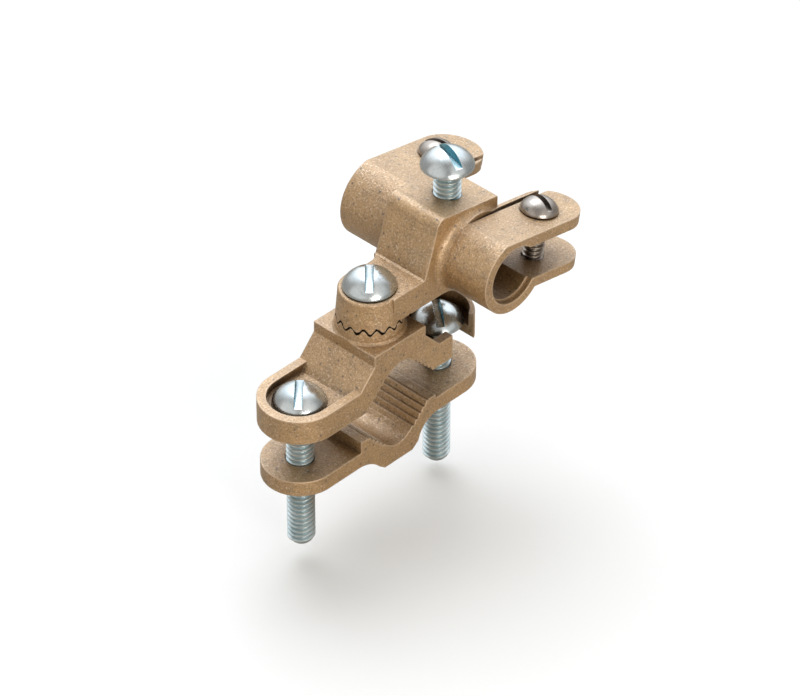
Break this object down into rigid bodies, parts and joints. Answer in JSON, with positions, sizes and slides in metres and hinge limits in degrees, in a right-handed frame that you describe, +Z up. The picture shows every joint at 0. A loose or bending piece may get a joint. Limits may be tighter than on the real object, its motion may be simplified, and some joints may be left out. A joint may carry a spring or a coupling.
{
  "type": "armored cable ground clamp",
  "caption": "Bronze ground clamp for a pipe: toothed V jaws, toothed swivel hub, wire block and split barrels for cable armor.",
  "frame": {"origin": "on the axis of the gripped pipe, midway along the jaws, under the swivel pivot", "axes": "+Y along the pipe away from the viewer, +X from the closed ear towards the slotted ear, +Z up through the swivel"},
  "size_m": [0.079, 0.0428, 0.0828],
  "materials": {
    "bronze": "sand-cast, dull",
    "zinc": "bright zinc plated",
    "steel": "dull plated steel"
  },
  "bodies": {
    "upper_jaw": {"upper_jaw": "bronze"},
    "lower_jaw": {"lower_jaw": "bronze"},
    "clamp_screw_left": {"clamp_screw_left": "zinc"},
    "clamp_screw_right": {"clamp_screw_right": "zinc"},
    "hub": {"hub": "bronze"},
    "pivot_screw": {"pivot_screw": "zinc"},
    "set_screw": {"set_screw": "zinc"},
    "near_ear_screw": {"near_ear_screw": "steel"},
    "far_ear_screw": {"far_ear_screw": "steel"}
  },
  "joints": [
    {"name": "clamp_screw_left_turn", "type": "hinge", "parent": "upper_jaw", "child": "clamp_screw_left", "pos_m": [-0.0216, 0, 0.0077], "axis": [0, 0, 1], "range_deg": [-1843.52, 5330.13]},
    {"name": "clamp_screw_right_turn", "type": "hinge", "parent": "upper_jaw", "child": "clamp_screw_right", "pos_m": [0.0211, 0, 0.0077], "axis": [0, 0, 1], "range_deg": [-1843.52, 5330.13]},
    {"name": "lower_jaw_slide", "type": "slide", "parent": "upper_jaw", "child": "lower_jaw", "axis": [0, 0, 1], "range_m": [-0.0188, 0.0065]},
    {"name": "hub_swivel", "type": "hinge", "parent": "upper_jaw", "child": "hub", "pos_m": [0, 0, 0.0199], "axis": [0, 0, 1], "range_deg": [-270, 270]},
    {"name": "pivot_screw_travel", "type": "slide", "parent": "upper_jaw", "child": "pivot_screw", "axis": [0, 0, 1], "range_m": [0, 0.0035]},
    {"name": "set_screw_travel", "type": "slide", "parent": "hub", "child": "set_screw", "axis": [0, 0, 1], "range_m": [-0.0045, 0.0065]},
    {"name": "near_ear_screw_travel", "type": "slide", "parent": "hub", "child": "near_ear_screw", "axis": [0.1736, 0, 0.9848], "range_m": [0, 0.0034]},
    {"name": "far_ear_screw_travel", "type": "slide", "parent": "hub", "child": "far_ear_screw", "axis": [0.1736, 0, 0.9848], "range_m": [0, 0.0034]}
  ],
  "couplings": [
    {"joint": "clamp_screw_left_turn", "follows": "lower_jaw_slide", "rad_per_m": -4947.4},
    {"joint": "clamp_screw_right_turn", "follows": "lower_jaw_slide", "rad_per_m": -4947.4}
  ]
}
